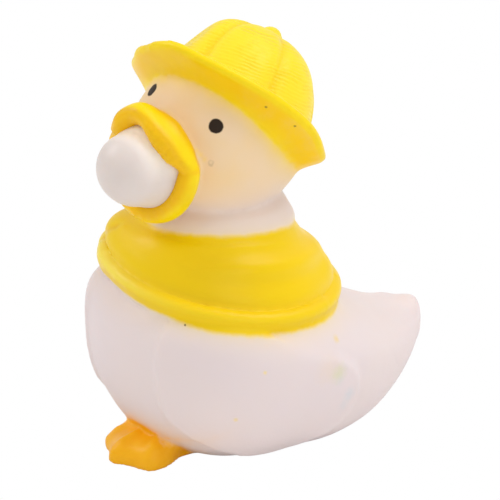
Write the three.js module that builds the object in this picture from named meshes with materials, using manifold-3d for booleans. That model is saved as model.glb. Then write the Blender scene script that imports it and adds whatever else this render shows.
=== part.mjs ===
// A squeeze duck: one soft moulded skin with hat, cape, open bill and webbed foot, and a film
// bubble in the bill. Millimetres, +Z up, the bill points to -Y, the origin is under the neck.
import * as THREE from "three";
import { mergeVertices } from "three/addons/utils/BufferGeometryUtils.js";
import Module from "manifold-3d";

const wasm = await Module();
wasm.setup();

// Body and tail
const BODY_WIDTH = 44;
const CHEST_REACH = 21.2;
const TAIL_REACH = 41.7;
const GIRTH_HEIGHT = 20.5;
const BELLY_DEPTH = 22.5;
const BACK_HEIGHT = 32;
const TAIL_WIDTH = 13;
const TAIL_TOP = 15.6;
const TAIL_THICKNESS = 6;
const TAIL_ROUNDING = 3;
const TAIL_DIP = 0.6;
const DIP_START = 0.5;
const TAIL_GIRTH = 0.56;
const CHEST_FULLNESS = 2.3;
const RUMP_FULLNESS = 3.6;
const BREAST_FULLNESS = 2.9;
const SHOULDER_FULLNESS = 2;
// Powers that shape the long curves: under 1 fills them early, over 1 late.
const BREAST_CURVE = 0.7;
const BACK_CURVE = 0.9;
const FLANK_CURVE = 1.4;
const RUMP_CURVE = 3.4;

// Wings, raised from the flanks
const WING_RELIEF = 0.9;
const WING_FRONT_RELIEF = 0.35;
const WING_INSET = 10.3;
const WING_TIP_Y = 14;
const WING_TIP_HEIGHT = 13;
const WING_LOW = 2;
const WING_HIGH = 31;

// Neck and head
const NECK_CREASE_RADIUS = 10;
const NECK_CREASE_HEIGHT = 43;
const NECK_ROLL_RADIUS = 13.2;
const NECK_ROLL_HEIGHT = 39;
const HEAD_WIDTH = 27;
const HEAD_LENGTH = 28;
const HEAD_HEIGHT = 28;
const HEAD_CENTRE_Y = 0.5;
const HEAD_CENTRE_HEIGHT = 53;
const HEAD_FULLNESS = 2.3;
const HEAD_TURN = 12;

// Cape
const CAPE_COLLAR_RADIUS = 12.4;
const CAPE_COLLAR_HEIGHT = 38.7;
const CAPE_COLLAR_PITCH = 1.3;
const CAPE_COLLAR_LEAN = 1.3;
const CAPE_RIM_INSET = 1.2;
const CAPE_RIM_HEIGHT = 29.9;
const CAPE_RIM_PITCH = 2.3;
const CAPE_RIM_LEAN = 2.6;
const CAPE_RIM_SHIFT = 0.5;
const CAPE_BEAD = 2.1;
const CAPE_GROOVE = 0.3;
const CAPE_BULGE = 1.3;
const CAPE_FRONT_BULGE = 1;
const CAPE_ROOT = 7;
const CAPE_LIP_DROP = 1.5;
const TIER_RUN = 0.55;
const TIER_RISE = 0.8;
const TIER_STEP = 0.03;

// Hat
const HAT_TILT = 43;
const HAT_CENTRE_Y = 2.6;
const HAT_CENTRE_HEIGHT = 57.9;
const CROWN_RADIUS = 13.2;
const CROWN_HEIGHT = 12.9;
const CROWN_SET_BACK = 2;
const CROWN_FULLNESS = 2.5;
const CROWN_TAPER = 0.12;
const CROWN_PANELS = 6;
const SEAM_DEPTH = 0.7;
const BRIM_RADIUS = 18.2;
const BRIM_DROP = 0.9;
const BRIM_EDGE = 1.7;
const BRIM_ROOT = 4.6;
const BRIM_ROOT_LEAN = 0.55;
const BRIM_DROOP = 1.1;
const BUTTON_RADIUS = 1.9;
const BUTTON_HEIGHT = 1.5;

// Bill and mouth: how far the lips reach from the root plane, and their size from the mouth's middle
const BILL_HEIGHT = 54.1;
const BILL_ROOT_Y = -10.2;
const BILL_ROOT_SIZE = 8;
const LIP_TOP_REACH = 8.7;
const LIP_TOP_SIZE = 7.9;
const LIP_TOP_THICKNESS = 2.9;
const LIP_CORNER_REACH = 5.0;
const LIP_CORNER_SIZE = 9.4;
const LIP_CORNER_DROP = 1.5;
const LIP_CORNER_THICKNESS = 2.8;
const LIP_BOTTOM_REACH = 7.2;
const LIP_BOTTOM_SIZE = 11.4;
const LIP_BOTTOM_THICKNESS = 2.6;
const LIP_ARCH = 1.42;
const MOUTH_ARCH = 1.75;
const LIP_CURL = 0.7;
// The bill's outside, the rounding of its lips and the funnel behind them: each pair is how far
// the ring lies behind the lips' edge, and how many lip thicknesses it is drawn in.
const BILL_FLARE = [[5.8, 0.6], [3.6, 0.22], [2.2, 0]];
const LIP_ROUNDING = [[1.4, 0], [0.6, 0.1], [0.1, 0.28], [0, 0.42], [0.4, 0.72], [1.2, 1]];
const MOUTH_FUNNEL = [[3.4, 1.15], [2.2, 1.05]];
const CORNER_LAG = 0.6;
const CORNER_FOLD = 0.3;
const MOUTH_DEPTH = 4;
const MOUTH_DROP = 1.9;
const THROAT_WIDTH = 12.6;
const THROAT_HEIGHT = 11.6;
const THROAT_EDGE = 1;

// Bubble: the film is drawn in from the lips by so many clearances, and the ball closes at a small
// turn from its tip.
const BUBBLE_RADIUS = 6.4;
const BUBBLE_REACH = 8.7;
const BUBBLE_TIP = 0.03;
const BUBBLE_CLEARANCE = 0.3;
const FILM_PINCH = 1.5;

// Webbed foot
const FOOT_INSET = 12.2;
const HEEL_REACH = 5.4;
const HEEL_TURN = 72;
const TOE_REACH = 12.9;
const SIDE_TOE_REACH = 11.6;
const TOE_SPLAY = 32;
const TOE_WIDTH = 5.6;
const TOE_RISE = 0.35;
const WEB_NOTCH = 0.9;
const WEB_HEIGHT = 3;
const WEB_ROUNDING = 1.9;
const INSTEP_HEIGHT = 5.5;

const TURN = 2 * Math.PI;
const lerp = THREE.MathUtils.lerp;
const ease = (t) => THREE.MathUtils.smoothstep(t, 0, 1);
const degrees = THREE.MathUtils.degToRad;
const steps = (count) => Array.from({ length: count }, (_, i) => i);
const shares = (count) => steps(count).map((i) => i / (count - 1));

// The power of a sine or cosine with its sign kept, for superellipses.
const signedPower = (value, power) => Math.sign(value) * Math.abs(value) ** power;

// A closed skin through a row of rings. It is capped at both ends, or joined end to start.
function loft(rings, closed = false) {
  const sides = rings[0].length;
  const points = rings.flat();
  const faces = [];
  const spans = closed ? rings.length : rings.length - 1;
  for (const i of steps(spans)) {
    for (const j of steps(sides)) {
      const next = (j + 1) % sides;
      const here = i * sides;
      const there = ((i + 1) % rings.length) * sides;
      faces.push(here + j, here + next, there + next, here + j, there + next, there + j);
    }
  }
  if (!closed) {
    for (const end of [0, rings.length - 1]) {
      const middle = points.length;
      const centre = rings[end].reduce((sum, p) => sum.add(p), new THREE.Vector3());
      points.push(centre.divideScalar(sides));
      for (const j of steps(sides)) {
        const next = (j + 1) % sides;
        const [a, b] = end === 0 ? [next, j] : [j, next];
        faces.push(end * sides + a, end * sides + b, middle);
      }
    }
  }
  const geometry = new THREE.BufferGeometry().setFromPoints(points);
  geometry.setIndex(faces);
  return geometry;
}

// A closed geometry as a solid, with its faces turned outwards.
function solid(geometry) {
  const bare = new THREE.BufferGeometry();
  bare.setAttribute("position", geometry.getAttribute("position"));
  bare.setIndex(geometry.getIndex());
  const merged = mergeVertices(bare, 1e-4);
  const position = merged.getAttribute("position").array;
  const corners = merged.getIndex().array;
  const corner = (i) => new THREE.Vector3().fromArray(position, 3 * i);
  const index = [];
  let volume = 0;
  for (let i = 0; i < corners.length; i += 3) {
    const [a, b, c] = corners.slice(i, i + 3);
    if (a === b || b === c || c === a) continue;
    index.push(a, b, c);
    volume += corner(a).dot(corner(b).cross(corner(c)));
  }
  if (volume < 0) index.reverse();
  const triVerts = Uint32Array.from(index);
  const vertProperties = Float32Array.from(position);
  return new wasm.Manifold(new wasm.Mesh({ numProp: 3, vertProperties, triVerts }));
}

// A solid back as a geometry.
function geometryOf(manifold) {
  const mesh = manifold.getMesh();
  const geometry = new THREE.BufferGeometry();
  geometry.setAttribute("position", new THREE.BufferAttribute(mesh.vertProperties, 3));
  geometry.setIndex(new THREE.BufferAttribute(mesh.triVerts, 1));
  geometry.computeVertexNormals();
  return geometry;
}

const join = (solids) => solids.reduce((whole, piece) => whole.add(piece));

// A turned solid about the vertical axis, from a profile of [radius, height] pairs.
function turned(profile, sides) {
  const points = profile.map(([radius, height]) => new THREE.Vector2(radius, height));
  return new THREE.LatheGeometry(points, sides).rotateX(Math.PI / 2);
}

// The torso's cross-section at y: half width, top, bottom, the height of its widest line, and
// how square it is below that line.
function torsoSection(y) {
  if (y < 0) {
    const fall = Math.sqrt(Math.max(0, 1 - (y / CHEST_REACH) ** 2));
    return {
      half: (BODY_WIDTH / 2) * fall,
      top: lerp(GIRTH_HEIGHT, BACK_HEIGHT, fall ** BREAST_CURVE),
      bottom: GIRTH_HEIGHT - BELLY_DEPTH * fall,
      girth: GIRTH_HEIGHT,
      fullness: CHEST_FULLNESS,
      shoulder: lerp(SHOULDER_FULLNESS, BREAST_FULLNESS, ease(-y / CHEST_REACH)),
    };
  }
  const share = y / TAIL_REACH;
  const into = Math.max(0, (y - TAIL_REACH + TAIL_ROUNDING) / TAIL_ROUNDING);
  const tip = Math.sqrt(Math.max(0, 1 - into ** 2));
  const dip = TAIL_DIP * Math.sin((Math.PI * Math.max(0, share - DIP_START)) / (1 - DIP_START)) ** 2;
  const top = lerp(BACK_HEIGHT, TAIL_TOP, ease(share ** BACK_CURVE)) - dip;
  const bottom = lerp(GIRTH_HEIGHT - BELLY_DEPTH, TAIL_TOP - TAIL_THICKNESS, share ** RUMP_CURVE);
  const level = BELLY_DEPTH / (BACK_HEIGHT - GIRTH_HEIGHT + BELLY_DEPTH);
  const girth = lerp(bottom, top, lerp(level, TAIL_GIRTH, ease(share)));
  return {
    half: lerp(BODY_WIDTH / 2, TAIL_WIDTH / 2, ease(share ** FLANK_CURVE)) * tip,
    top: lerp(girth, top, tip),
    bottom: lerp(girth, bottom, tip),
    girth,
    fullness: lerp(CHEST_FULLNESS, RUMP_FULLNESS, ease(2 * share)),
    shoulder: SHOULDER_FULLNESS,
  };
}

// Torso and tail: rings along the length, closer together at the two ends. A swell at y grows it there.
function torso(swell) {
  const stations = 34;
  const sides = 40;
  const rings = steps(stations).map((i) => {
    const t = -Math.cos((Math.PI * (i + 0.35)) / (stations - 0.3));
    const y = t < 0 ? t * CHEST_REACH : t * TAIL_REACH;
    const { half, top, bottom, girth, fullness, shoulder } = torsoSection(y);
    const grown = swell(y);
    return steps(sides).map((j) => {
      const angle = (TURN * j) / sides;
      const power = 2 / (Math.sin(angle) < 0 ? fullness : shoulder);
      const across = (half + grown) * signedPower(Math.cos(angle), power);
      const reach = Math.sin(angle) < 0 ? girth - bottom + grown : top - girth + grown;
      const up = reach * signedPower(Math.sin(angle), power);
      return new THREE.Vector3(across, y + grown * t, girth + up);
    });
  });
  return solid(loft(rings));
}

// Wings: on each side the flank stands out inside a leaf-shaped outline with its tip at the back.
function wings() {
  const front = -CHEST_REACH - 2 * WING_RELIEF;
  const under = lerp(WING_LOW, WING_TIP_HEIGHT, 0.4);
  const over = lerp(WING_TIP_HEIGHT, WING_HIGH, 0.3);
  const outline = new THREE.Shape();
  outline.moveTo(front, over);
  outline.bezierCurveTo(0.8 * front, WING_TIP_HEIGHT, 0.6 * front, WING_LOW, 0, WING_LOW);
  const tip = [WING_TIP_Y, WING_TIP_HEIGHT];
  outline.bezierCurveTo(0.6 * WING_TIP_Y, WING_LOW, WING_TIP_Y, under, ...tip);
  outline.bezierCurveTo(WING_TIP_Y, over, 0, 0.7 * WING_HIGH, 0.5 * front, WING_HIGH);
  outline.lineTo(front, WING_HIGH);
  const flank = torso((y) => lerp(WING_FRONT_RELIEF, WING_RELIEF, ease(1 + y / CHEST_REACH)));
  const width = BODY_WIDTH / 2;
  return [WING_INSET, -WING_INSET - width].map((x) => {
    const options = { depth: width, bevelEnabled: false, curveSegments: 10 };
    const sheet = new THREE.ExtrudeGeometry(outline, options);
    sheet.rotateX(Math.PI / 2).rotateZ(Math.PI / 2);
    return flank.intersect(solid(sheet.translate(x, 0, 0)));
  });
}

// Neck: a soft roll over the shoulders, creased under the head.
function neck() {
  const bulge = NECK_ROLL_RADIUS - NECK_CREASE_RADIUS;
  const rise = NECK_CREASE_HEIGHT - NECK_ROLL_HEIGHT;
  const roll = shares(9).map((t) => {
    const angle = lerp(-1.2, 1.15, t);
    return [NECK_CREASE_RADIUS + bulge * Math.cos(angle), NECK_ROLL_HEIGHT + rise * Math.sin(angle)];
  });
  const profile = [[0, GIRTH_HEIGHT], [roll[0][0], GIRTH_HEIGHT], ...roll];
  profile.push([NECK_CREASE_RADIUS, NECK_CREASE_HEIGHT], [NECK_CREASE_RADIUS, HEAD_CENTRE_HEIGHT]);
  profile.push([0, HEAD_CENTRE_HEIGHT]);
  return solid(turned(profile, 40));
}

// The head and all on it look a little to the duck's left.
const lookAside = (geometry) => geometry.rotateZ(degrees(HEAD_TURN));

// Head: a full, rounded egg.
function head() {
  const sides = 36;
  const rings = shares(17).map((t) => {
    const lift = lerp(-0.495, 0.495, t) * Math.PI;
    const out = Math.cos(lift);
    return steps(sides).map((j) => {
      const angle = (TURN * j) / sides;
      const across = out * signedPower(Math.cos(angle), 2 / HEAD_FULLNESS);
      const along = out * signedPower(Math.sin(angle), 2 / HEAD_FULLNESS);
      return new THREE.Vector3(
        (HEAD_WIDTH / 2) * across,
        HEAD_CENTRE_Y + (HEAD_LENGTH / 2) * along,
        HEAD_CENTRE_HEIGHT + (HEAD_HEIGHT / 2) * Math.sin(lift),
      );
    });
  });
  return solid(lookAside(loft(rings)));
}

// The cape's profile at an angle from the front, as [radius, height] pairs from collar to bead.
// An upper tier lies over the back and sides and fades out towards the front.
function capeProfile(angle) {
  const bead = CAPE_BEAD / 2;
  const low = CAPE_RIM_HEIGHT + CAPE_RIM_PITCH * Math.cos(angle) - CAPE_RIM_LEAN * Math.sin(angle);
  const tip = CAPE_COLLAR_PITCH * Math.cos(angle) + CAPE_COLLAR_LEAN * Math.sin(angle);
  const high = CAPE_COLLAR_HEIGHT + tip;
  const rim = CHEST_REACH - CAPE_RIM_INSET + CAPE_RIM_SHIFT * (Math.sin(angle) - Math.cos(angle));
  const tier = TIER_RISE * ease((0.75 - Math.cos(angle)) / 0.5);
  const onSlope = (t, lift) => {
    const radius = lerp(CAPE_COLLAR_RADIUS, rim - CAPE_BEAD - CAPE_GROOVE, t);
    const bulge = CAPE_BULGE + CAPE_FRONT_BULGE * Math.max(0, Math.cos(angle));
    const out = bulge * Math.sin(Math.PI * t) + lift;
    return [radius + out * Math.SQRT1_2, lerp(high, low + CAPE_GROOVE, t) + out * Math.SQRT1_2];
  };
  const collar = CAPE_COLLAR_RADIUS;
  const profile = [[collar - CAPE_ROOT, high - CAPE_BEAD], [collar - CAPE_BEAD, high]];
  profile.push(...shares(4).map((t) => onSlope(TIER_RUN * t, tier * Math.min(1, 2 * t))));
  profile.push(...shares(4).map((t) => onSlope(lerp(TIER_RUN + TIER_STEP, 1, t), 0)));
  for (const t of shares(6)) {
    const turn = lerp(2.6, -0.8, t);
    profile.push([rim - bead + bead * Math.cos(turn), low + bead * Math.sin(turn)]);
  }
  profile.push([rim - bead, low - bead - CAPE_LIP_DROP], [rim - CAPE_ROOT, low - CAPE_ROOT]);
  return profile;
}

// Cape: its profile swept round the neck.
function cape() {
  const sections = 56;
  const swept = steps(sections).map((i) => {
    const angle = (TURN * i) / sections;
    return capeProfile(angle).map(([radius, height]) => {
      return new THREE.Vector3(radius * Math.sin(angle), -radius * Math.cos(angle), height);
    });
  });
  return solid(loft(swept, true));
}

// The hat's own frame, with its origin in the middle of the brim's edge: it leans back.
function onHead(geometry) {
  geometry.rotateX(-degrees(HAT_TILT)).translate(0, HAT_CENTRE_Y, HAT_CENTRE_HEIGHT);
  return lookAside(geometry);
}

// Crown of the hat: a dome of panels with pressed seams between them.
function crown() {
  const sides = 54;
  const ring = (share, rise, seamDepth) =>
    steps(sides).map((j) => {
      const angle = (TURN * j) / sides;
      const seam = Math.abs(Math.cos((CROWN_PANELS / 2) * angle)) ** 14;
      const out = CROWN_RADIUS * share - seamDepth * seam;
      const height = BRIM_DROP + CROWN_HEIGHT * rise;
      return new THREE.Vector3(out * Math.sin(angle), CROWN_SET_BACK - out * Math.cos(angle), height);
    });
  const dome = shares(13).map((t) => {
    const lift = 0.49 * Math.PI * t;
    const rise = Math.sin(lift) ** (2 / CROWN_FULLNESS);
    const share = Math.cos(lift) ** (2 / CROWN_FULLNESS) * (1 - CROWN_TAPER * rise);
    return ring(share, rise, SEAM_DEPTH * Math.cos(lift));
  });
  return loft([ring(1, -BRIM_DROP / CROWN_HEIGHT, 0), ...dome]);
}

// Brim: a sloping ring with a soft edge. Under it the hat runs down to the head as a cone.
function brim() {
  const edge = BRIM_EDGE / 2;
  const inner = CROWN_RADIUS;
  const lip = shares(6).map((t) => {
    const turn = lerp(-1.3, 1.5, t);
    return [BRIM_RADIUS - edge + edge * Math.cos(turn), edge * Math.sin(turn)];
  });
  const under = [[0, -BRIM_ROOT], [inner, -BRIM_ROOT]];
  const over = [[inner, BRIM_DROP + BRIM_EDGE / 4], [0, BRIM_DROP + BRIM_EDGE / 4]];
  const ring = turned([...under, ...lip, ...over], 56);
  const position = ring.getAttribute("position");
  for (const i of steps(position.count)) {
    const behind = Math.max(0, position.getY(i)) / BRIM_RADIUS;
    const past = Math.hypot(position.getX(i), position.getY(i)) - inner;
    const droop = (BRIM_DROOP * behind ** 2 * Math.max(0, past)) / (BRIM_RADIUS - inner);
    const lean = 1 + (BRIM_ROOT_LEAN * position.getY(i)) / inner;
    const root = position.getZ(i) < -edge;
    position.setZ(i, position.getZ(i) * (root ? lean : 1) - droop);
  }
  return ring;
}

// Button on top of the crown.
function button() {
  const top = BRIM_DROP + CROWN_HEIGHT;
  const round = shares(4).map((t) => {
    const turn = (Math.PI / 2) * t;
    return [BUTTON_RADIUS * Math.cos(turn), top + BUTTON_HEIGHT * Math.sin(turn)];
  });
  const profile = [[0, top - BUTTON_HEIGHT], [BUTTON_RADIUS, top - BUTTON_HEIGHT], ...round];
  return turned(profile, 16).translate(0, CROWN_SET_BACK, 0);
}

// Room for the hat's body on the head, so that no skin shows through the crown.
function hatRoom() {
  const room = new THREE.CylinderGeometry(BRIM_RADIUS, BRIM_RADIUS, CROWN_HEIGHT, 24);
  room.rotateX(Math.PI / 2).translate(0, 0, CROWN_HEIGHT / 2);
  return solid(onHead(room));
}

const hat = () => join([crown(), brim(), button()].map((piece) => solid(onHead(piece))));

// A ring round the mouth: reach and size at the top, the corners and the bottom flow together.
function mouthRing(top, corner, bottom, arch = 2) {
  const sides = 36;
  return steps(sides).map((j) => {
    const angle = (TURN * j) / sides;
    const up = Math.sin(angle);
    const end = up > 0 ? top : bottom;
    const power = up > 0 ? 2 / arch : 1;
    const high = signedPower(up, power);
    const reach = lerp(corner.reach, end.reach, Math.abs(high) ** LIP_CURL);
    const across = corner.size * signedPower(Math.cos(angle), power);
    const drop = corner.drop * (1 - Math.abs(high));
    return new THREE.Vector3(across, -reach, end.size * high - drop);
  });
}

const onFace = (geometry) => lookAside(geometry.translate(0, BILL_ROOT_Y, BILL_HEIGHT));

// A ring of the bill: the lips' outline, drawn back along the reach and in by so many thicknesses.
function lipRing(back, inward) {
  const top = { reach: LIP_TOP_REACH - back, size: LIP_TOP_SIZE - inward * LIP_TOP_THICKNESS };
  const bottom = { reach: LIP_BOTTOM_REACH - back, size: LIP_BOTTOM_SIZE - inward * LIP_BOTTOM_THICKNESS };
  const fold = inward * LIP_CORNER_THICKNESS;
  const cornerReach = LIP_CORNER_REACH - CORNER_LAG * back + CORNER_FOLD * fold;
  const corner = { reach: cornerReach, size: LIP_CORNER_SIZE - fold, drop: LIP_CORNER_DROP };
  return mouthRing(top, corner, bottom, lerp(LIP_ARCH, MOUTH_ARCH, inward));
}

// A ring about the throat's middle, which lies below the middle of the lips.
function throatRing(reach, side, end) {
  const ring = mouthRing({ reach, size: end }, { reach, size: side, drop: 0 }, { reach, size: end });
  return ring.map((point) => point.setZ(point.z - MOUTH_DROP));
}

// The pocket behind the lips, from the throat's floor outwards. A spare widens it all round.
function pocketRings(spare) {
  const side = THROAT_WIDTH / 2 + spare;
  const end = THROAT_HEIGHT / 2 + spare;
  const throat = [-MOUTH_DEPTH - spare, THROAT_EDGE].map((reach) => throatRing(reach, side, end));
  return [...throat, ...MOUTH_FUNNEL.map(([back, inward]) => lipRing(back, inward - spare / 2))];
}

// Bill: it flares from a root inside the head to the lips and folds in to the pocket.
function bill() {
  const root = throatRing(-2 * MOUTH_DEPTH, BILL_ROOT_SIZE, BILL_ROOT_SIZE);
  const lips = [...BILL_FLARE, ...LIP_ROUNDING].map(([back, inward]) => lipRing(back, inward));
  return solid(onFace(loft([root, ...lips, ...pocketRings(0).reverse()])));
}

// Room for the pocket in the head, cut within the bill's own wall and open to the front.
function pocket() {
  const rings = pocketRings(BUBBLE_CLEARANCE);
  return solid(onFace(loft([...rings, lipRing(-MOUTH_DEPTH, 1)])));
}

// A place on the ball, turned from its tip towards a point of the film's rim.
function onBall(point, turn) {
  const down = point.z + MOUTH_DROP;
  const share = (BUBBLE_RADIUS * Math.sin(turn)) / Math.hypot(point.x, down);
  const reach = BUBBLE_REACH + BUBBLE_RADIUS * Math.cos(turn);
  return new THREE.Vector3(point.x * share, -reach, down * share - MOUTH_DROP);
}

// How far round the ball the straight film from a point of its rim touches it.
function touchTurn(point) {
  const out = Math.hypot(point.x, point.z + MOUTH_DROP);
  const ahead = -point.y - BUBBLE_REACH;
  const lean = Math.acos(Math.min(1, BUBBLE_RADIUS / Math.hypot(out, ahead)));
  return Math.atan2(out, ahead) - lean;
}

// Bubble: the film lines the mouth, leaves the lips as a straight wall and swells to a ball.
function bubble() {
  const gap = BUBBLE_CLEARANCE;
  const side = THROAT_WIDTH / 2 - gap;
  const end = THROAT_HEIGHT / 2 - gap;
  const inset = (FILM_PINCH * gap) / LIP_BOTTOM_THICKNESS;
  const lining = [...MOUTH_FUNNEL, LIP_ROUNDING.at(-1)];
  const rings = [throatRing(gap - MOUTH_DEPTH, side, end), throatRing(THROAT_EDGE, side, end)];
  rings.push(...lining.map(([back, inward]) => lipRing(back, inward + inset)));
  const rim = rings.at(-1);
  for (const t of shares(14)) {
    rings.push(rim.map((point) => onBall(point, lerp(touchTurn(point), BUBBLE_TIP, t))));
  }
  return onFace(loft(rings));
}

// How high the foot stands at a way out from the heel: it slopes from the instep to the toes.
const footSlope = (out) => lerp(INSTEP_HEIGHT, WEB_HEIGHT, Math.min(1, Math.max(0, out / TOE_REACH)));

// How far the web reaches from the heel: furthest at the toes, notched between them.
function webReach(turn) {
  const splay = degrees(TOE_SPLAY);
  const aside = Math.abs(turn) / splay;
  const behind = (Math.abs(turn) - splay) / (degrees(HEEL_TURN) - splay);
  if (aside > 1) return lerp(SIDE_TOE_REACH, HEEL_REACH, ease(behind));
  return lerp(TOE_REACH, SIDE_TOE_REACH, aside) - WEB_NOTCH * Math.sin(Math.PI * aside) ** 2;
}

// One toe: a low rounded ridge along the foot.
function toe(turn) {
  const half = TOE_WIDTH / 2;
  const reach = webReach(turn) - WEB_ROUNDING;
  const sides = 16;
  const rings = shares(9).map((t) => {
    const along = (reach - half / sides) * Math.sin((Math.PI / 2) * t);
    const tip = Math.sqrt(1 - Math.max(0, (along - reach + half) / half) ** 2);
    const high = footSlope(along) + TOE_RISE * tip;
    return steps(sides).map((j) => {
      const angle = (TURN * j) / sides;
      return new THREE.Vector3(half * tip * Math.cos(angle), -along, high * Math.sin(angle));
    });
  });
  return solid(loft(rings).rotateZ(turn).translate(0, FOOT_INSET - CHEST_REACH, 0));
}

// Webbed foot: three low toes on one thick web that slopes to the front.
function foot() {
  const corners = 64;
  const outline = steps(corners).map((i) => {
    const turn = TURN * (i / corners - 1 / 2);
    return new THREE.Vector2(Math.sin(turn), Math.cos(turn)).multiplyScalar(webReach(turn));
  });
  const edge = { bevelThickness: WEB_ROUNDING, bevelSize: WEB_ROUNDING, bevelOffset: -WEB_ROUNDING };
  const options = { depth: WEB_HEIGHT, bevelSegments: 4, ...edge };
  const sheet = new THREE.ExtrudeGeometry(new THREE.Shape(outline), options);
  sheet.rotateX(Math.PI).translate(0, 0, WEB_HEIGHT - WEB_ROUNDING);
  const position = sheet.getAttribute("position");
  for (const i of steps(position.count)) {
    const lift = footSlope(-position.getY(i)) / WEB_HEIGHT;
    position.setZ(i, position.getZ(i) * lift);
  }
  sheet.translate(0, FOOT_INSET - CHEST_REACH, 0);
  const splay = degrees(TOE_SPLAY);
  return join([solid(sheet), toe(0), toe(splay), toe(-splay)]);
}

// Everything of the skin below the table is cut off flat.
function tableCut() {
  const size = 4 * TAIL_REACH;
  return solid(new THREE.BoxGeometry(size, size, size).translate(0, 0, -size / 2));
}

const bareHead = join([neck(), head()]).subtract(hatRoom());
const skin = join([torso(() => 0), ...wings(), bareHead, cape(), hat(), foot()])
  .subtract(pocket())
  .add(bill())
  .subtract(tableCut());

const skinRubber = new THREE.MeshStandardMaterial({ color: 0xe8d8d4, roughness: 0.55, metalness: 0 });
const filmRubber = new THREE.MeshStandardMaterial({ color: 0xf0eae6, roughness: 0.4, metalness: 0 });

const duck = new THREE.Group();
for (const [name, manifold, material] of [
  ["duck_body", skin, skinRubber],
  ["bubble", solid(bubble()), filmRubber],
]) {
  const mesh = new THREE.Mesh(geometryOf(manifold), material);
  mesh.name = name;
  duck.add(mesh);
}

export default duck;
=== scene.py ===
# %% [markdown]
# # A duck stress ball in soft rubber
#
# The toy is one moulding of soft white rubber. Its hat, cape, bill and foot are sprayed with
# paint through masks, and a white bubble of thin rubber stands out of its open bill.
# The lesson takes the fixed solids of the toy, rounds them the way a soft moulding is round,
# and then builds the paint as one material that knows how far each place is from a paint edge.

import math

import bpy
import numpy as np
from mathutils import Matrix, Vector
from mathutils.kdtree import KDTree


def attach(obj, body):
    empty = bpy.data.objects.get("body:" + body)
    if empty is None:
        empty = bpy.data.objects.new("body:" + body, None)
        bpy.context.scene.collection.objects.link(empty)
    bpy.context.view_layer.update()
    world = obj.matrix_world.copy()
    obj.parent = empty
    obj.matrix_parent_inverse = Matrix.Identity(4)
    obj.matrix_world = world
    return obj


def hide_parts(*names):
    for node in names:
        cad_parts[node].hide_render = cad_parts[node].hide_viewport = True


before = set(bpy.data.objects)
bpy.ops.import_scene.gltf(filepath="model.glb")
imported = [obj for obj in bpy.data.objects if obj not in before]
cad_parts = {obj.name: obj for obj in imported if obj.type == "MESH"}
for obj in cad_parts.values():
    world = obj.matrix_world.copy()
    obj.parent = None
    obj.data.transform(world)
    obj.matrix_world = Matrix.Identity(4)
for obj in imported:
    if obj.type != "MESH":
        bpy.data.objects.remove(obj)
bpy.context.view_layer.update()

# %% [markdown]
# ## Rounding the moulding
#
# The solids come with flat facets and knife-sharp creases, and a rubber moulding has neither.
# A copy of each solid is welded, rebuilt as an even fine grid, and relaxed. The relaxing is strong on
# open surfaces, where it melts the facets, and gentle near a crease, where it leaves a small round.

# %% Copy, weld and rebuild a solid
MM = 0.001
SHARP_TURN = math.radians(24)
HEAD_TURN = math.radians(12)
HOLD = {"hard": 0.0, "wing": 0.15, "lip": 0.07}
WELD, CREASE_STEP = 0.01 * MM, 0.5 * MM
NECK_RADIUS = 11
HEM, HEM_ROLL = (29.9, 2.3, -2.6), 1.8
COLLAR, COLLAR_ROLL = (38.7, 1.3, 1.3), 0.8
LIPS_AHEAD, LIPS_ABOVE = -13.8, 42
WING_TOP, WING_LOW_BEHIND, WING_LOW_AHEAD = 25, 0.7, 7
WING_FRONT = -6
WING_ROOT_ABOVE, WING_ROOT_HALF = 17, 8


def tipped_ring(ring, angle):
    """The height of a ring round the neck, at an angle, that is tipped forwards and to one side."""
    height, forwards, aside = ring
    return height + forwards * np.cos(angle) + aside * np.sin(angle)


def cape_lines(angle):
    """The heights of the cape's hem and collar, in millimetres, at an angle round the neck."""
    return tipped_ring(HEM, angle), tipped_ring(COLLAR, angle)


def crease_kind(point, sharp):
    """Sorts an edge by its middle, in millimetres: lips and wings are softer than the other creases."""
    hem, collar = cape_lines(math.atan2(point.x, -point.y))
    on_cape = hem + HEM_ROLL < point.z < collar - COLLAR_ROLL
    if on_cape and math.hypot(point.x, point.y) > NECK_RADIUS:
        return None
    ahead = math.cos(HEAD_TURN) * point.y - math.sin(HEAD_TURN) * point.x
    if ahead < LIPS_AHEAD and point.z > LIPS_ABOVE:
        return "lip"
    low = WING_LOW_BEHIND if point.y > WING_FRONT else WING_LOW_AHEAD
    if sharp and low < point.z < WING_TOP:
        at_root = point.z > WING_ROOT_ABOVE and abs(point.y) < WING_ROOT_HALF
        return None if at_root else "wing"
    return "hard" if sharp else None


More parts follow.
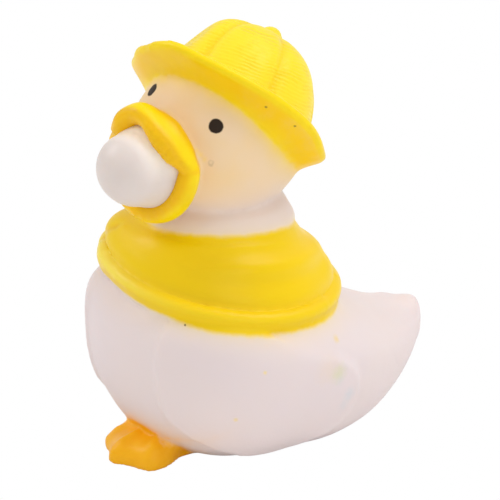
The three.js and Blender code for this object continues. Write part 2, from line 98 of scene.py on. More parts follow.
def fine_copy(node, name, voxel):
    """A welded, evenly meshed copy of a solid, with points along each kind of crease."""
    bpy.ops.object.select_all(action="DESELECT")
    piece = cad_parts[node].copy()
    piece.data = piece.data.copy()
    piece.name = piece.data.name = name
    piece.parent = None
    bpy.context.collection.objects.link(piece)
    piece.select_set(True)
    bpy.context.view_layer.objects.active = piece
    bpy.ops.object.mode_set(mode="EDIT")
    bpy.ops.mesh.select_all(action="SELECT")
    bpy.ops.mesh.remove_doubles(threshold=WELD)
    bpy.ops.mesh.select_all(action="DESELECT")
    bpy.ops.mesh.select_mode(type="EDGE")
    bpy.ops.mesh.edges_select_sharp(sharpness=SHARP_TURN)
    bpy.ops.object.mode_set(mode="OBJECT")
    creases = {kind: [] for kind in HOLD}
    for edge in piece.data.edges:
        a, b = (piece.data.vertices[i].co for i in edge.vertices)
        kind = crease_kind((a + b) / 2 / MM, edge.select)
        if kind:
            parts = max(2, int((b - a).length / CREASE_STEP))
            creases[kind] += [a.lerp(b, (k + 0.5) / parts) for k in range(parts)]
    remesh = piece.modifiers.new("even grid", "REMESH")
    remesh.mode = "VOXEL"
    remesh.voxel_size = voxel
    bpy.ops.object.modifier_apply(modifier=remesh.name)
    print(name, len(piece.data.polygons), "faces, crease points", {k: len(v) for k, v in creases.items()})
    return piece, creases


skin, skin_creases = fine_copy("duck_body", "toy_skin", voxel=0.43 * MM)
ball, ball_creases = fine_copy("bubble", "mouth_bubble", voxel=0.25 * MM)

# %% Relax the open surfaces and round the creases
SOFT_FROM, SOFT_FULL = 0.3 * MM, 2.2 * MM


def away_from(points, piece):
    """The distance of each vertex from the nearest of some points."""
    if not points:
        return np.ones(len(piece.data.vertices))
    tree = KDTree(len(points))
    for i, point in enumerate(points):
        tree.insert(point, i)
    tree.balance()
    return np.array([tree.find(v.co)[2] for v in piece.data.vertices])


def weigh(piece, name, weights):
    """A vertex group from an array of weights, in steps of a hundredth."""
    group = piece.vertex_groups.new(name=name)
    steps = np.round(weights * 100).astype(int)
    for step in range(1, 101):
        group.add(np.where(steps == step)[0].tolist(), step / 100, "REPLACE")
    return group.name


def soften(piece, group, steps):
    """Smooths the vertices of a group, or all of them."""
    bpy.context.view_layer.objects.active = piece
    smooth = piece.modifiers.new("soften", "SMOOTH")
    smooth.factor = 0.5
    smooth.iterations = steps
    smooth.vertex_group = group
    bpy.ops.object.modifier_apply(modifier=smooth.name)


def relax(piece, creases, open_steps, all_steps):
    """Smooths strongly away from the creases, less near them and a little everywhere."""
    share = np.ones(len(piece.data.vertices))
    for kind, points in creases.items():
        ramp = (away_from(points, piece) - SOFT_FROM) / (SOFT_FULL - SOFT_FROM)
        share = np.minimum(share, np.clip(ramp, HOLD[kind], 1))
    group = weigh(piece, "open surface", share)
    bpy.ops.object.select_all(action="DESELECT")
    piece.select_set(True)
    bpy.context.view_layer.objects.active = piece
    for steps, limit in ((all_steps, ""), (open_steps, group), (all_steps, "")):
        soften(piece, limit, steps)
    bpy.ops.object.shade_smooth()


relax(skin, skin_creases, open_steps=65, all_steps=4)
relax(ball, {"hard": ball_creases["hard"]}, open_steps=40, all_steps=4)
for piece, node in ((skin, "duck_body"), (ball, "bubble")):
    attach(piece, "root")
    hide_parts(node)
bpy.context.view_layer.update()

# %% [markdown]
# ## Low relief that rounding has melted
#
# The moulded hat copies a cloth one: six panels meet at a button, with a sewn seam between each two.
# The wings end in a thin raised edge, and the film of the bubble clings to the lips.
# Each of these is a vertex group whose weights fade away from a line, and a Displace modifier moves the
# weighted vertices along their normals: in for a seam, out for an edge.

# %% Press the seams in and push the edges out
HAT_TILT = math.radians(43)
HAT_CENTRE = (0, 2.6, 57.9)
BUBBLE_CENTRE = (0, -18.9, 52.2)
PANEL = math.radians(60)
BUTTON_BEHIND, BUTTON_RADIUS, SEAM_REACH, SEAM_FOOT = 2, 2.2, 14, 1.4


def local(points, turn, centre, tilt=0.0):
    """The points as seen from a part of the head: turned back, moved to its centre, tipped level."""
    c, s = math.cos(turn), math.sin(turn)
    x = c * points[:, 0] + s * points[:, 1] - centre[0]
    y = -s * points[:, 0] + c * points[:, 1] - centre[1]
    z = points[:, 2] - centre[2]
    c, s = math.cos(tilt), math.sin(tilt)
    return x, c * y - s * z, s * y + c * z


def places(piece):
    """The vertices of a piece in millimetres."""
    flat = np.empty(len(piece.data.vertices) * 3)
    piece.data.vertices.foreach_get("co", flat)
    return flat.reshape(-1, 3) / MM


def push(piece, name, weights, way, direction="NORMAL"):
    """Moves the weighted vertices so many millimetres along their normals or along an axis."""
    bpy.context.view_layer.objects.active = piece
    move = piece.modifiers.new(name, "DISPLACE")
    move.vertex_group = weigh(piece, name, weights)
    move.direction = direction
    move.mid_level = 0
    move.strength = way * MM
    bpy.ops.object.modifier_apply(modifier=move.name)
    print(name, "moves", int((weights > 0.5).sum()), "vertices by", way, "mm")


def bell(distance, width):
    """1 at no distance, fading to nothing at about twice the width."""
    return np.exp(-((distance / width) ** 2))


def rise(value, start, length):
    """0 up to the start, then rising to 1 over the length."""
    return np.clip((value - start) / length, 0, 1)


def fall(value, end, length):
    """1 at first, then falling to 0 at the end, over the length before it."""
    return np.clip((end - value) / length, 0, 1)


def hat_seam(p, width):
    """1 in the six seams between the panels of the hat's crown."""
    x, y, h = local(p, HEAD_TURN, HAT_CENTRE, HAT_TILT)
    angle, out = np.arctan2(x, BUTTON_BEHIND - y), np.hypot(x, BUTTON_BEHIND - y)
    aside = out * np.abs(np.sin(angle - np.round(angle / PANEL) * PANEL))
    on_dome = rise(h, SEAM_FOOT, 1.2) * rise(out, BUTTON_RADIUS, 1.5) * (out < SEAM_REACH)
    return bell(aside, width) * on_dome


push(skin, "hat seams", hat_seam(places(skin), 0.8), -0.5)
wing_edge = away_from(skin_creases["wing"], skin) / MM
push(skin, "wing edges", bell(wing_edge, 0.9), 0.22)
x, y, z = local(places(ball), HEAD_TURN, BUBBLE_CENTRE)
push(ball, "clinging film", rise(y, -0.5, 2.5), 0.7)

# %% [markdown]
# ## Where the paint lies
#
# Each colour is sprayed through a mask that fits round one part: hat, cape, bill or foot.
# For every point of the skin the distance to a mask's edge is kept in millimetres: above zero is
# painted, below zero is bare. A distance is better than a colour here, because the material can turn it
# into a crisp edge, a ragged edge or a cloud of overspray.

# %% Measure the hat and the cape
CROWN_RADIUS, BRIM_WIDTH, HAT_REACH = 13.2, 4.2, 21
BRIM_ROOT, ROOT_SLOPE, BRIM_EDGE = -4.6, 0.55, -0.8
BRIM_DROOP, DROOP_REACH = 1.4, 18.2
HEM_DEPTH, HEM_RADIUS = 2.3, 17


def hat_distance(p):
    """Millimetres inside the hat's paint, which ends under the brim."""
    x, y, h = local(p, HEAD_TURN, HAT_CENTRE, HAT_TILT)
    r = np.hypot(x, y)
    root = BRIM_ROOT * (1 + ROOT_SLOPE * y / np.maximum(r, 1))
    past = rise(r, CROWN_RADIUS, BRIM_WIDTH)
    droop = BRIM_DROOP * past * (np.maximum(0, y) / DROOP_REACH) ** 2
    under = root + past * (BRIM_EDGE - root) - droop
    return np.minimum(h - under + 0.5, HAT_REACH - r)


def cape_distance(p):
    """Millimetres inside the cape's paint, between its hem and its collar."""
    angle = np.arctan2(p[:, 0], -p[:, 1])
    hem, collar = cape_lines(angle)
    collar = collar + 1.6 * bell(angle + 0.63, 0.5)
    return np.minimum(p[:, 2] - hem + HEM_DEPTH, collar + 0.1 - p[:, 2])


def hem_crest_highlight(p):
    """1 along the crest of the cape's hem, most at the front: a painted highlight."""
    angle = np.arctan2(p[:, 0], -p[:, 1])
    hem = cape_lines(angle)[0]
    front = 0.05 + 0.95 * np.clip(np.cos(angle + 0.3), 0, 1) ** 4
    on_rim = np.hypot(p[:, 0], p[:, 1]) > HEM_RADIUS
    return bell(p[:, 2] - hem - 0.4, 0.55) * front * on_rim


def cape_front_shade(p):
    """1 on the cape where it faces the camera, between hem and collar: painted shade."""
    angle = np.arctan2(p[:, 0], -p[:, 1])
    hem, collar = cape_lines(angle)
    between = fall(p[:, 2], collar, 4) * rise(p[:, 2], hem + 1, 1)
    return bell(angle - 0.9, 0.6) * between


def share_of_skin(values):
    """The share of the skin's points, in per cent, where a measure is above zero."""
    return round(100 * float((values > 0).mean()), 1)


points = places(skin)
print("hat covers", share_of_skin(hat_distance(points)), "% of the skin's points")
print("cape covers", share_of_skin(cape_distance(points)), "% of the skin's points")

# %% Measure the bill
BILL_CENTRE = (0, -10.2, 54.1)
HEAD_CENTRE, HEAD_HALF, HEAD_POWER = (0, 0.5, 53), (13.5, 14, 14), 2.3
PAINT_HALF, PAINT_UP, PAINT_DOWN = 10, 8.4, 11.9
RIDGE_HALF, RIDGE_UP, RIDGE_DOWN = 9.4, 7.9, 11.4
NECK_TOP, NECK_CLEAR = 44.5, 13.8


def bill_distance(p):
    """Millimetres inside the bill's paint: the lips that stand out of the head, and the throat."""
    along_axes = zip(local(p, HEAD_TURN, HEAD_CENTRE), HEAD_HALF)
    shell = sum(np.abs(v / half) ** HEAD_POWER for v, half in along_axes) ** (1 / HEAD_POWER)
    proud = (shell - 1) * HEAD_HALF[0]
    x, y, z = local(p, HEAD_TURN, BILL_CENTRE)
    tall = np.where(z > 0, PAINT_UP, PAINT_DOWN)
    ring = (1.04 - np.hypot(x / PAINT_HALF, z / tall)) * 9.5
    off_neck = np.where(p[:, 2] < NECK_TOP, np.hypot(p[:, 0], p[:, 1]) - NECK_CLEAR, 9)
    lips = np.minimum.reduce([proud - 0.6, ring, 4 - y, off_neck])
    throat = np.minimum.reduce([-proud - 3, ring, 7 - y])
    return np.maximum(lips, throat)


def lip_size(p):
    """How far out a place is on the lips, 1 on their ridge, with its place in the bill's own frame."""
    x, y, z = local(p, HEAD_TURN, BILL_CENTRE)
    z = z + 1.5 * fall(np.abs(z), 8, 8)
    bend = np.where(z > 0, 1.55, 2)
    tall = np.where(z > 0, RIDGE_UP, RIDGE_DOWN)
    size = (np.abs(x / RIDGE_HALF) ** bend + np.abs(z / tall) ** bend) ** (1 / bend)
    return size, x, y, z


def shaded_inner_lip(p):
    """1 on the lips' inner slope and in the folds at the mouth's corners, 0 on their outside: painted
    shade.
    """
    size, x, y, z = lip_size(p)
    fold = bell(z, 0.5) * (np.abs(x) > 5.5)
    return np.maximum(fall(size, 0.97, 0.07), 0.7 * fold) * (y < -2)


def lip_crease_shade(p):
    """1 on the thin line between the upper lip's ridge and its inner slope: painted shade in that crease.
    """
    size, x, y, z = lip_size(p)
    return bell(size - 0.93, 0.02) * (y < -2) * rise(z, 0.5, 1)


print("bill covers", share_of_skin(bill_distance(points)), "% of the skin's points")

# %% Measure the foot, the brim's shade and the mist on the face
FOOT_CENTRE, FOOT_RADIUS, FOOT_FLATNESS = (0, -15.2, 1.0), 8.3, 1.6
TOES_FROM, TOES_TOP = -14.5, 5.2
MIST, MIST_REACH, MIST_LOW, MIST_FADE = 0.5, 12, 39, 12


def foot_distance(p):
    """Millimetres inside the foot's paint: a flat ball round the leg, and the toes."""
    reach = np.linalg.norm((p - np.array(FOOT_CENTRE)) * np.array([1, 1, FOOT_FLATNESS]), axis=1)
    toes = np.minimum(TOES_FROM - p[:, 1], TOES_TOP - p[:, 2])
    return np.maximum(FOOT_RADIUS - reach, toes)


def brim_shade(p):
    """1 on the brim's underside just inside its edge, fading towards the head."""
    x, y, h = local(p, HEAD_TURN, HAT_CENTRE, HAT_TILT)
    r = np.hypot(x, y)
    side = 0.3 + 0.7 * rise(np.abs(x), 3, 8)
    under = rise(h, -5.5, 1.5) * fall(h, 0.3, 0.6)
    return side * under * rise(r, 12.5, 3) * fall(r, 17.8, 0.7)


def face_mist(p):
    """The cloud of yellow that hangs over the face between hat and bill and thins out down the neck."""
    away = np.maximum(0, -np.maximum(hat_distance(p), bill_distance(p)))
    fade = rise(p[:, 2], MIST_LOW, MIST_FADE)
    return MIST * np.exp(-away / MIST_REACH) * fade * fade * (3 - 2 * fade)


print("foot covers", share_of_skin(foot_distance(points)), "% of the skin's points")

# %% Keep the measures on the skin
def keep(piece, name, values):
    """Stores one value for each vertex, for the material to read."""
    layer = piece.data.attributes.new(name, "FLOAT", "POINT")
    layer.data.foreach_set("value", values.astype(np.float32))


MASKS = {
    "hat_mm": hat_distance,
    "cape_mm": cape_distance,
    "bill_mm": bill_distance,
    "foot_mm": foot_distance,
    "face_mist": face_mist,
    "shaded_inner_lip": shaded_inner_lip,
    "lip_crease_shade": lip_crease_shade,
    "brim_shade": brim_shade,
    "hem_crest_highlight": hem_crest_highlight,
    "cape_front_shade": cape_front_shade,
    "hat_seam": lambda p: hat_seam(p, 0.45),
    "crown_mm": lambda p: local(p, HEAD_TURN, HAT_CENTRE, HAT_TILT)[2],
}
for name, measure in MASKS.items():
    values = measure(points)
    keep(skin, name, values)
    print(name, "is above zero on", share_of_skin(values), "% of the skin's points")

# %% [markdown]
# ## Pulling the outline
#
# The rounded solids are still a little too regular. On the toy the lips are fat, the cape is nearly a
# straight cone from collar to hem, the brim droops and the tail ends in a blunt corner.
# Each correction is a soft pull: weights that fade away from a line or a centre, moved along the normals
# or by a small step. The paint distances are already kept, so the paint moves with the rubber.
# The bubble is treated the same way: it is lifted a little and its crown is lowered.

# %% Fatten the lips
x, y, z = local(places(skin), HEAD_TURN, BILL_CENTRE)
on_lips = fall(y, -2.6, 2) * rise(z, -12.6, 1.5)
inner = shaded_inner_lip(places(skin)) * on_lips
push(skin, "fat lips", on_lips, 0.4)
sides = rise(z, -0.8, 2) * rise(np.abs(x), 1.2, 3)
push(skin, "upper lip's sides", inner * sides, 1.3)
push(skin, "lower lip's inner slope", inner * fall(z, 0, 2.5), 0.4)
soften(skin, weigh(skin, "lips", on_lips), 12)

# %% Straighten the cape
BACK_RIGHT = math.radians(144)
p = places(skin)
angle, out = np.arctan2(p[:, 0], -p[:, 1]), np.hypot(p[:, 0], p[:, 1])
hem, collar = cape_lines(angle)
behind = 0.5 + 0.5 * np.cos(angle - BACK_RIGHT)
push(skin, "cape above its hem", bell(p[:, 2] - hem - 2.4, 1.8) * (out > NECK_RADIUS), 0.9)
push(skin, "cape under its collar", bell(p[:, 2] - collar + 2.2, 1.8) * behind * (out > NECK_RADIUS), -1.1)
push(skin, "neck roll", bell(p[:, 2] - 41.2, 2) * behind * (out > 9) * (out < 14), -0.6)
groove = bell(p[:, 2] - hem - 2.2, 1.5) * (out > NECK_RADIUS)
soften(skin, weigh(skin, "groove above the hem", groove), 60)

# %% Raise a ridge along each toe
p = places(skin)
x, forth = p[:, 0], -8.6 - p[:, 1]
on_top = rise(p[:, 2], 1.6, 1) * fall(p[:, 2], 5, 0.6)
for turn, reach in ((-32, 11.6), (0, 12.9), (32, 11.6)):
    c, s = math.cos(math.radians(turn)), math.sin(math.radians(turn))
    along, aside = s * x + c * forth, c * x - s * forth
    ends = rise(along, 6.5, 1.5) * fall(along, reach - 1, 1)
    push(skin, "toe's ridge", bell(aside, 0.7) * on_top * ends, 0.35)

# %% Fill and hollow single places
# Each place has a centre, a radius and a depth along the normals, in millimetres.
FULLER = {
    "cape's shoulder": ((-10.7, -13.3, 36.2), 5, 1.2),
    "breast under the cape": ((-10.9, -15, 29), 5, 1.3),
    "cape's back edge": ((10.9, 15, 30.5), 4, 1.0),
    "right of the rump": ((9, 31, 9), 7, 0.6),
    "left of the rump": ((-9, 31, 9), 7, 0.6),
    "right of the belly": ((17.2, 17, 3.8), 6, -0.7),
    "left of the belly": ((-17.2, 17, 3.8), 6, -0.7),
}


def near_place(centre, radius):
    """1 at a place on the skin, fading round it."""
    return bell(np.linalg.norm(places(skin) - np.array(centre), axis=1), radius)


for name, (centre, radius, way) in FULLER.items():
    push(skin, name, near_place(centre, radius), way)

# %% Pull single places
# Each place has a centre, a radius and a step along the three axes, in millimetres.
PULLS = {
    "brim's front": ((-10.9, -8.8, 64.5), 5, (0.8, 0.25, -1.2)),
    "brim's top": ((2.9, -9.7, 70.5), 4, (-0.2, 0.15, 0.6)),
    "brim's back": ((14, 11, 52), 5, (0.3, 0.1, -1.4)),
    "upper lip": ((0.5, -17.6, 61), 4.5, (-0.1, 0.3, 0.6)),
    "upper lip's far corner": ((-3.5, -17.4, 56), 4, (0.8, 1.1, 0)),
    "crown": ((-3.4, 3.6, 70.2), 5, (-0.2, 0.1, 0.55)),
    "brim's front corner": ((-5.2, -11, 68.9), 3, (0.35, 0.2, -0.5)),
    "crown's left slope": ((-6.2, 0.2, 68.6), 3.4, (0.55, 0.28, -0.66)),
    "cape's hem at the left": ((-11.3, -15.5, 33), 3, (0.4, 0.55, 0)),
    "tail's saddle": ((-1.5, 38, 15.2), 5, (0, 0, -0.9)),
    "tail's corner": ((2.9, 41, 14.2), 3.5, (0, 0, 1.6)),
    "tail's end": ((5.5, 40, 11), 4, (-0.4, -0.6, 0)),
    "left toes": ((-5.4, -17.3, 3.9), 3.5, (0, 0, -1)),
}
for name, (centre, radius, way) in PULLS.items():
    near = near_place(centre, radius)
    for axis, step in zip("XYZ", way):
        if step:
            push(skin, name + " " + axis, near, step, axis)

# %% Round what the pulls left sharp
ROUNDING_STEPS = 43
ROUNDED = {
    "brim's back": ((14, 11, 50.5), 5.5),
    "brim's front": ((-10.3, -8.5, 63.5), 5),
    "hem's left": ((-12.5, -14, 35), 4.5),
    "under the hem": ((-11.5, -14.8, 28.6), 3.5),
    "belly's corner, right": ((17.3, 9, 2.5), 7),
    "belly's corner, left": ((-17.3, 9, 2.5), 7),
    "hem's right": ((11.5, 15.5, 28.3), 5),
    "tail's end": ((-1, 39, 14.4), 6.5),
}
for name, (centre, radius) in ROUNDED.items():
    soften(skin, weigh(skin, name, near_place(centre, radius)), ROUNDING_STEPS)
print("rounded", len(ROUNDED), "places")

# %% Press in the cape's fold
SKIN_DEPTH = 4
p = places(skin)
start, end = np.array([-7.2, -14.9, 38.2]), np.array([-11.4, -14.85, 34.7])
share = np.clip((p - start) @ (end - start) / np.sum((end - start) ** 2), 0, 1)
outward = np.array([-0.62, -0.74, 0.26])
away = p - start - share[:, None] * (end - start)
depth = away @ outward
near_side = np.abs(depth) <= SKIN_DEPTH
away = np.linalg.norm(away - depth[:, None] * outward, axis=1)
push(skin, "fold of the cape", bell(away, 0.8) * near_side, -0.25)
# The fold's shade is painted from this measure.
keep(skin, "cape_fold_shade", bell(away, 0.5) * near_side)

# %% Shape the bubble
x, y, z = local(places(ball), HEAD_TURN, BUBBLE_CENTRE)
# Where the bubble's colour is made paler under the lips, as painted light.
keep(ball, "near_lips", rise(y, -3.5, 3) * rise(z, -1, 4))
push(ball, "bubble's lift", fall(y, 4, 8), 0.5, "Z")
soften(ball, weigh(ball, "bubble's waist", bell(y - 0.5, 2.5)), 40)
push(ball, "bubble's crown", rise(z, -6.6, 13.2) * fall(y, 3, 3), -0.65)

# %% [markdown]
# ## A short way to write nodes
#
# A material is a tree of nodes. By hand each node is added, set and joined in the editor. Here a small
# class does the three in one call, so that a chain of nodes reads like a sum.

# %% Write the node helper
class Nodes:
    """Adds nodes to a tree and joins them in one line each."""

    def __init__(self, tree):
        self.tree = tree
        self.column = 0

    def add(self, kind, settings=None, inputs=None):
        node = self.tree.nodes.new(kind)
        node.location = (self.column % 12 * 190, -(self.column // 12) * 320)
        self.column += 1
        for key, value in (settings or {}).items():
            setattr(node, key, value)
        for key, value in (inputs or {}).items():
            self.feed(node.inputs[key], value)
        return node

    def feed(self, socket, value):
        if isinstance(value, bpy.types.NodeSocket):
            self.tree.links.new(value, socket)
        else:
            socket.default_value = value

    def math(self, operation, a, b=0.0, c=0.0, clamp=False):
        settings = {"operation": operation, "use_clamp": clamp}
        return self.add("ShaderNodeMath", settings, {0: a, 1: b, 2: c}).outputs[0]

    def mix(self, share, a, b):
        node = self.add("ShaderNodeMix", {"data_type": "RGBA"})
        self.feed(node.inputs[0], share)
        self.feed(node.inputs[6], a)
        self.feed(node.inputs[7], b)
        return node.outputs[2]

    def noise(self, place, scale, detail=2.0, roughness=0.5):
        values = {"Vector": place, "Scale": scale, "Detail": detail, "Roughness": roughness}
        return self.add("ShaderNodeTexNoise", inputs=values).outputs["Fac"]

    def span(self, value, low, high, to_low=0.0, to_high=1.0, kind="SMOOTHSTEP"):
        values = {"Value": value, "From Min": low, "From Max": high, "To Min": to_low, "To Max": to_high}
        return self.add("ShaderNodeMapRange", {"interpolation_type": kind}, values).outputs[0]

    def group(self, tree, inputs):
        return self.add("ShaderNodeGroup", {"node_tree": tree}, inputs).outputs

    def attribute(self, name):
        return self.add("ShaderNodeAttribute", {"attribute_name": name}).outputs["Fac"]


def new_group(name, inputs, outputs):
    """An empty node group with named sockets, and what is needed to fill it."""
    tree = bpy.data.node_groups.new(name, "ShaderNodeTree")
    for label, kind in inputs.items():
        tree.interface.new_socket(label, in_out="INPUT", socket_type=kind)
    for label, kind in outputs.items():
        tree.interface.new_socket(label, in_out="OUTPUT", socket_type=kind)
    n = Nodes(tree)
    return tree, n, n.add("NodeGroupInput").outputs, n.add("NodeGroupOutput").inputs


FLOAT, VECTOR = "NodeSocketFloat", "NodeSocketVector"
print("node helper", Nodes.__name__)

# %% [markdown]
# ## Sprayed paint
#
# Spray paint has a body, an edge that is a little ragged where the mask lifted, and a mist beyond it that
# fades over a few millimetres. The effect is used by every colour, so it is a node group:
# it takes a distance in millimetres and gives back how much of the surface is covered.

# %% Build the node group for sprayed paint
spray, n, given, gives = new_group(
    "sprayed paint",
    {"Place": VECTOR, "Distance": FLOAT, "Edge": FLOAT, "Ragged": FLOAT, "Mist": FLOAT, "Reach": FLOAT},
    {"Cover": FLOAT, "Body": FLOAT},
)
wobble = n.math("SUBTRACT", n.noise(given["Place"], 420, 4, 0.6), 0.5)
moved = n.math("MULTIPLY_ADD", wobble, given["Ragged"], given["Distance"])
low = n.math("MULTIPLY", given["Edge"], -1.0)
body = n.span(moved, low, given["Edge"])
outside = n.math("MINIMUM", n.math("DIVIDE", moved, given["Reach"]), 0.0)
cloud = n.math("MULTIPLY", n.math("EXPONENT", outside), given["Mist"])
patchy = n.span(n.noise(given["Place"], 160, 3), 0.25, 0.75, 0.75, 1.15, "LINEAR")
cover = n.math("MAXIMUM", body, n.math("MULTIPLY", cloud, patchy), clamp=True)
n.feed(gives["Cover"], cover)
n.feed(gives["Body"], body)
print("node group", spray.name, "has", len(spray.nodes), "nodes")

# %% [markdown]
# ## Small marks of a cheap toy
#
# A sprayed toy always carries a few stray drops and scuffs. Each mark is a soft dot at its own place,
# and a small group turns the distance from that place into a share of the mark's colour.

# %% Build the node group for a round mark
mark, n, given, gives = new_group(
    "round mark",
    {"Place": VECTOR, "Centre": VECTOR, "Radius": FLOAT, "Soft": FLOAT, "Ragged": FLOAT},
    {"Cover": FLOAT},
)
ends = {0: given["Place"], 1: given["Centre"]}
away = n.add("ShaderNodeVectorMath", {"operation": "DISTANCE"}, ends).outputs["Value"]
away = n.math("DIVIDE", away, MM)
wobble = n.math("SUBTRACT", n.noise(given["Place"], 1400, 3), 0.5)
inside = n.math("SUBTRACT", given["Radius"], n.math("MULTIPLY_ADD", wobble, given["Ragged"], away))
n.feed(gives["Cover"], n.span(inside, n.math("MULTIPLY", given["Soft"], -1.0), given["Soft"]))
print("node group", mark.name, "has", len(mark.nodes), "nodes")

# %% [markdown]
# ## The skin
#
# White soft rubber is slightly pink and lets a little light in. The paint is satin, a shade deeper where it
# lies thick, darker with painted shade in its creases, folds and hollows, under the brim and on the cape's
# front, and paler with a painted highlight on the hem's crest. The eyes are two printed dots of brown
# black.
# All of it is one material, because all of it is one moulding.

# %% Mix the colours
WHITE = (0.785, 0.68, 0.68, 1)
WHITE_WARM = (0.795, 0.685, 0.665, 1)
YELLOW = (0.97, 0.71, 0.005, 1)
# A paler yellow for the hat's crown.
CROWN_YELLOW = (0.97, 0.745, 0.028, 1)
# A painted highlight for the crest of the cape's hem.
YELLOW_HIGHLIGHT = (0.99, 0.86, 0.16, 1)
# Painted shade for the cape where it faces the camera.
YELLOW_SHADE = (0.76, 0.50, 0.001, 1)
# A deeper yellow where the paint lies thick, also used as painted shade in the hat's ripples and seams.
YELLOW_THICK_AND_SHADE = (0.88, 0.60, 0.002, 1)
ORANGE = (0.98, 0.48, 0.008, 1)
ORANGE_THICK = (0.95, 0.44, 0.003, 1)
# Painted shade for the lips' inner slope and the mouth's corners.
BILL_SHADE = (0.92, 0.47, 0.002, 1)
# Painted shade for creases and folds.
CREASE_SHADE = (0.72, 0.33, 0.002, 1)
AMBER = (0.97, 0.59, 0.001, 1)
PEACH = (0.98, 0.61, 0.085, 1)
PEACH_PALE = (0.86, 0.66, 0.42, 1)
GREEN = (0.66, 0.68, 0.36, 1)
BLUE = (0.60, 0.66, 0.70, 1)
SOOT = (0.10, 0.07, 0.03, 1)
EYE = (0.024, 0.012, 0.005, 1)
print("white", WHITE[:3], "yellow", YELLOW[:3], "orange", ORANGE[:3])

# %% Lay out the zones of paint
def material(name):
    """An empty node material and the helper that fills it."""
    made = bpy.data.materials.new(name)
    made.use_nodes = True
    made.node_tree.nodes.clear()
    return made, Nodes(made.node_tree)


rubber, n = material("painted soft rubber")
place = n.add("ShaderNodeTexCoord").outputs["Object"]


def sprayed(name, edge, ragged, mist, reach):
    """One zone of paint, from its distance on the skin. All sizes are millimetres, mist is a share."""
    values = {"Place": place, "Distance": n.attribute(name), "Edge": edge, "Ragged": ragged}
    return n.group(spray, values | {"Mist": mist, "Reach": reach})


hat = sprayed("hat_mm", 0.5, 0.5, 0.55, 1.2)
cape = sprayed("cape_mm", 0.6, 0.7, 0.26, 1.2)
bill = sprayed("bill_mm", 0.35, 0.4, 0.15, 0.5)
foot = sprayed("foot_mm", 1.1, 2.2, 0.45, 2.0)
yellow = n.math("MAXIMUM", n.math("MAXIMUM", hat["Cover"], cape["Cover"]), bill["Cover"])
painted = n.math("MAXIMUM", yellow, foot["Cover"])
print("zones of paint", spray.users)

# %% Shade the yellow
def shaded(paint, name, share, tone):
    """The paint with some of a deeper or paler tone where a measure of the skin says so."""
    return n.mix(n.math("MULTIPLY", n.attribute(name), share), paint, tone)


patches = n.span(n.noise(place, 120, 3), 0.3, 0.7, 0.85, 1.1)
mist = n.math("MULTIPLY", n.attribute("face_mist"), patches)
tint = n.span(n.noise(place, 55, 3), 0.3, 0.7)
base = n.mix(tint, WHITE, WHITE_WARM)
thick = n.span(n.noise(place, 130, 4, 0.6), 0.35, 0.75, 0.0, 0.8)
paint = n.mix(n.math("MAXIMUM", thick, n.math("MULTIPLY", cape["Body"], 0.9)), YELLOW, YELLOW_THICK_AND_SHADE)
# Painted shade on the cape where it faces the camera.
paint = shaded(paint, "cape_front_shade", 0.55, YELLOW_SHADE)
# Painted shade on the lips' inner slope and in the mouth's corners.
paint = shaded(paint, "shaded_inner_lip", 0.7, BILL_SHADE)
# Painted shade along the upper lip's crease.
paint = shaded(paint, "lip_crease_shade", 0.45, CREASE_SHADE)
paint = shaded(paint, "brim_shade", 0.8, AMBER)
print("paint shaded,", len(rubber.node_tree.nodes), "nodes")

# %% [markdown]
# ## Ripples on the hat
#
# The crown of the hat copies a crinkled cloth: short fine ripples that lie across its panels.
# A sine over the height on the hat gives even rings, noise added to its phase bends them, and two
# more noises fade them in and out, so that only short pieces are left. The same wave drives a bump
# and darkens the paint in the ripples' hollows as painted shade.

# %% Ripple the crown
RIPPLE = 0.55 * MM
level = n.add("ShaderNodeSeparateXYZ", inputs={0: place}).outputs["Z"]
level = n.math("MULTIPLY_ADD", n.attribute("crown_mm"), 0.65 * MM, n.math("MULTIPLY", level, 0.35))
jitter = n.math("MULTIPLY", n.noise(place, 700, 1), 3.0)
drift = n.math("MULTIPLY_ADD", n.noise(place, 170, 2), 14.0, jitter)
wave = n.math("SINE", n.math("MULTIPLY_ADD", level, 2 * math.pi / RIPPLE, drift))
on_crown = n.span(n.attribute("crown_mm"), 1.2, 2.6)
strong = n.math("MULTIPLY", on_crown, n.span(n.noise(place, 110, 1), 0.35, 0.65, 0.35, 1.0))
strong = n.math("MULTIPLY", strong, n.span(n.noise(place, 380, 2), 0.4, 0.6, 0.25, 1.0))
ripple_shade = n.math("MULTIPLY", n.math("MULTIPLY", n.span(wave, -0.2, -1.0), strong), 0.5)
# Painted shade in the ripples' hollows, over a paler yellow on the crown.
paint = n.mix(ripple_shade, n.mix(on_crown, paint, CROWN_YELLOW), YELLOW_THICK_AND_SHADE)
# Painted shade in the hat's seams.
paint = shaded(paint, "hat_seam", 0.45, YELLOW_THICK_AND_SHADE)
# A painted highlight along the crest of the cape's hem.
paint = shaded(paint, "hem_crest_highlight", 0.6, YELLOW_HIGHLIGHT)
# Painted shade in the cape's fold.
paint = shaded(paint, "cape_fold_shade", 0.35, CREASE_SHADE)
print("ripples every", round(RIPPLE / MM, 2), "mm")

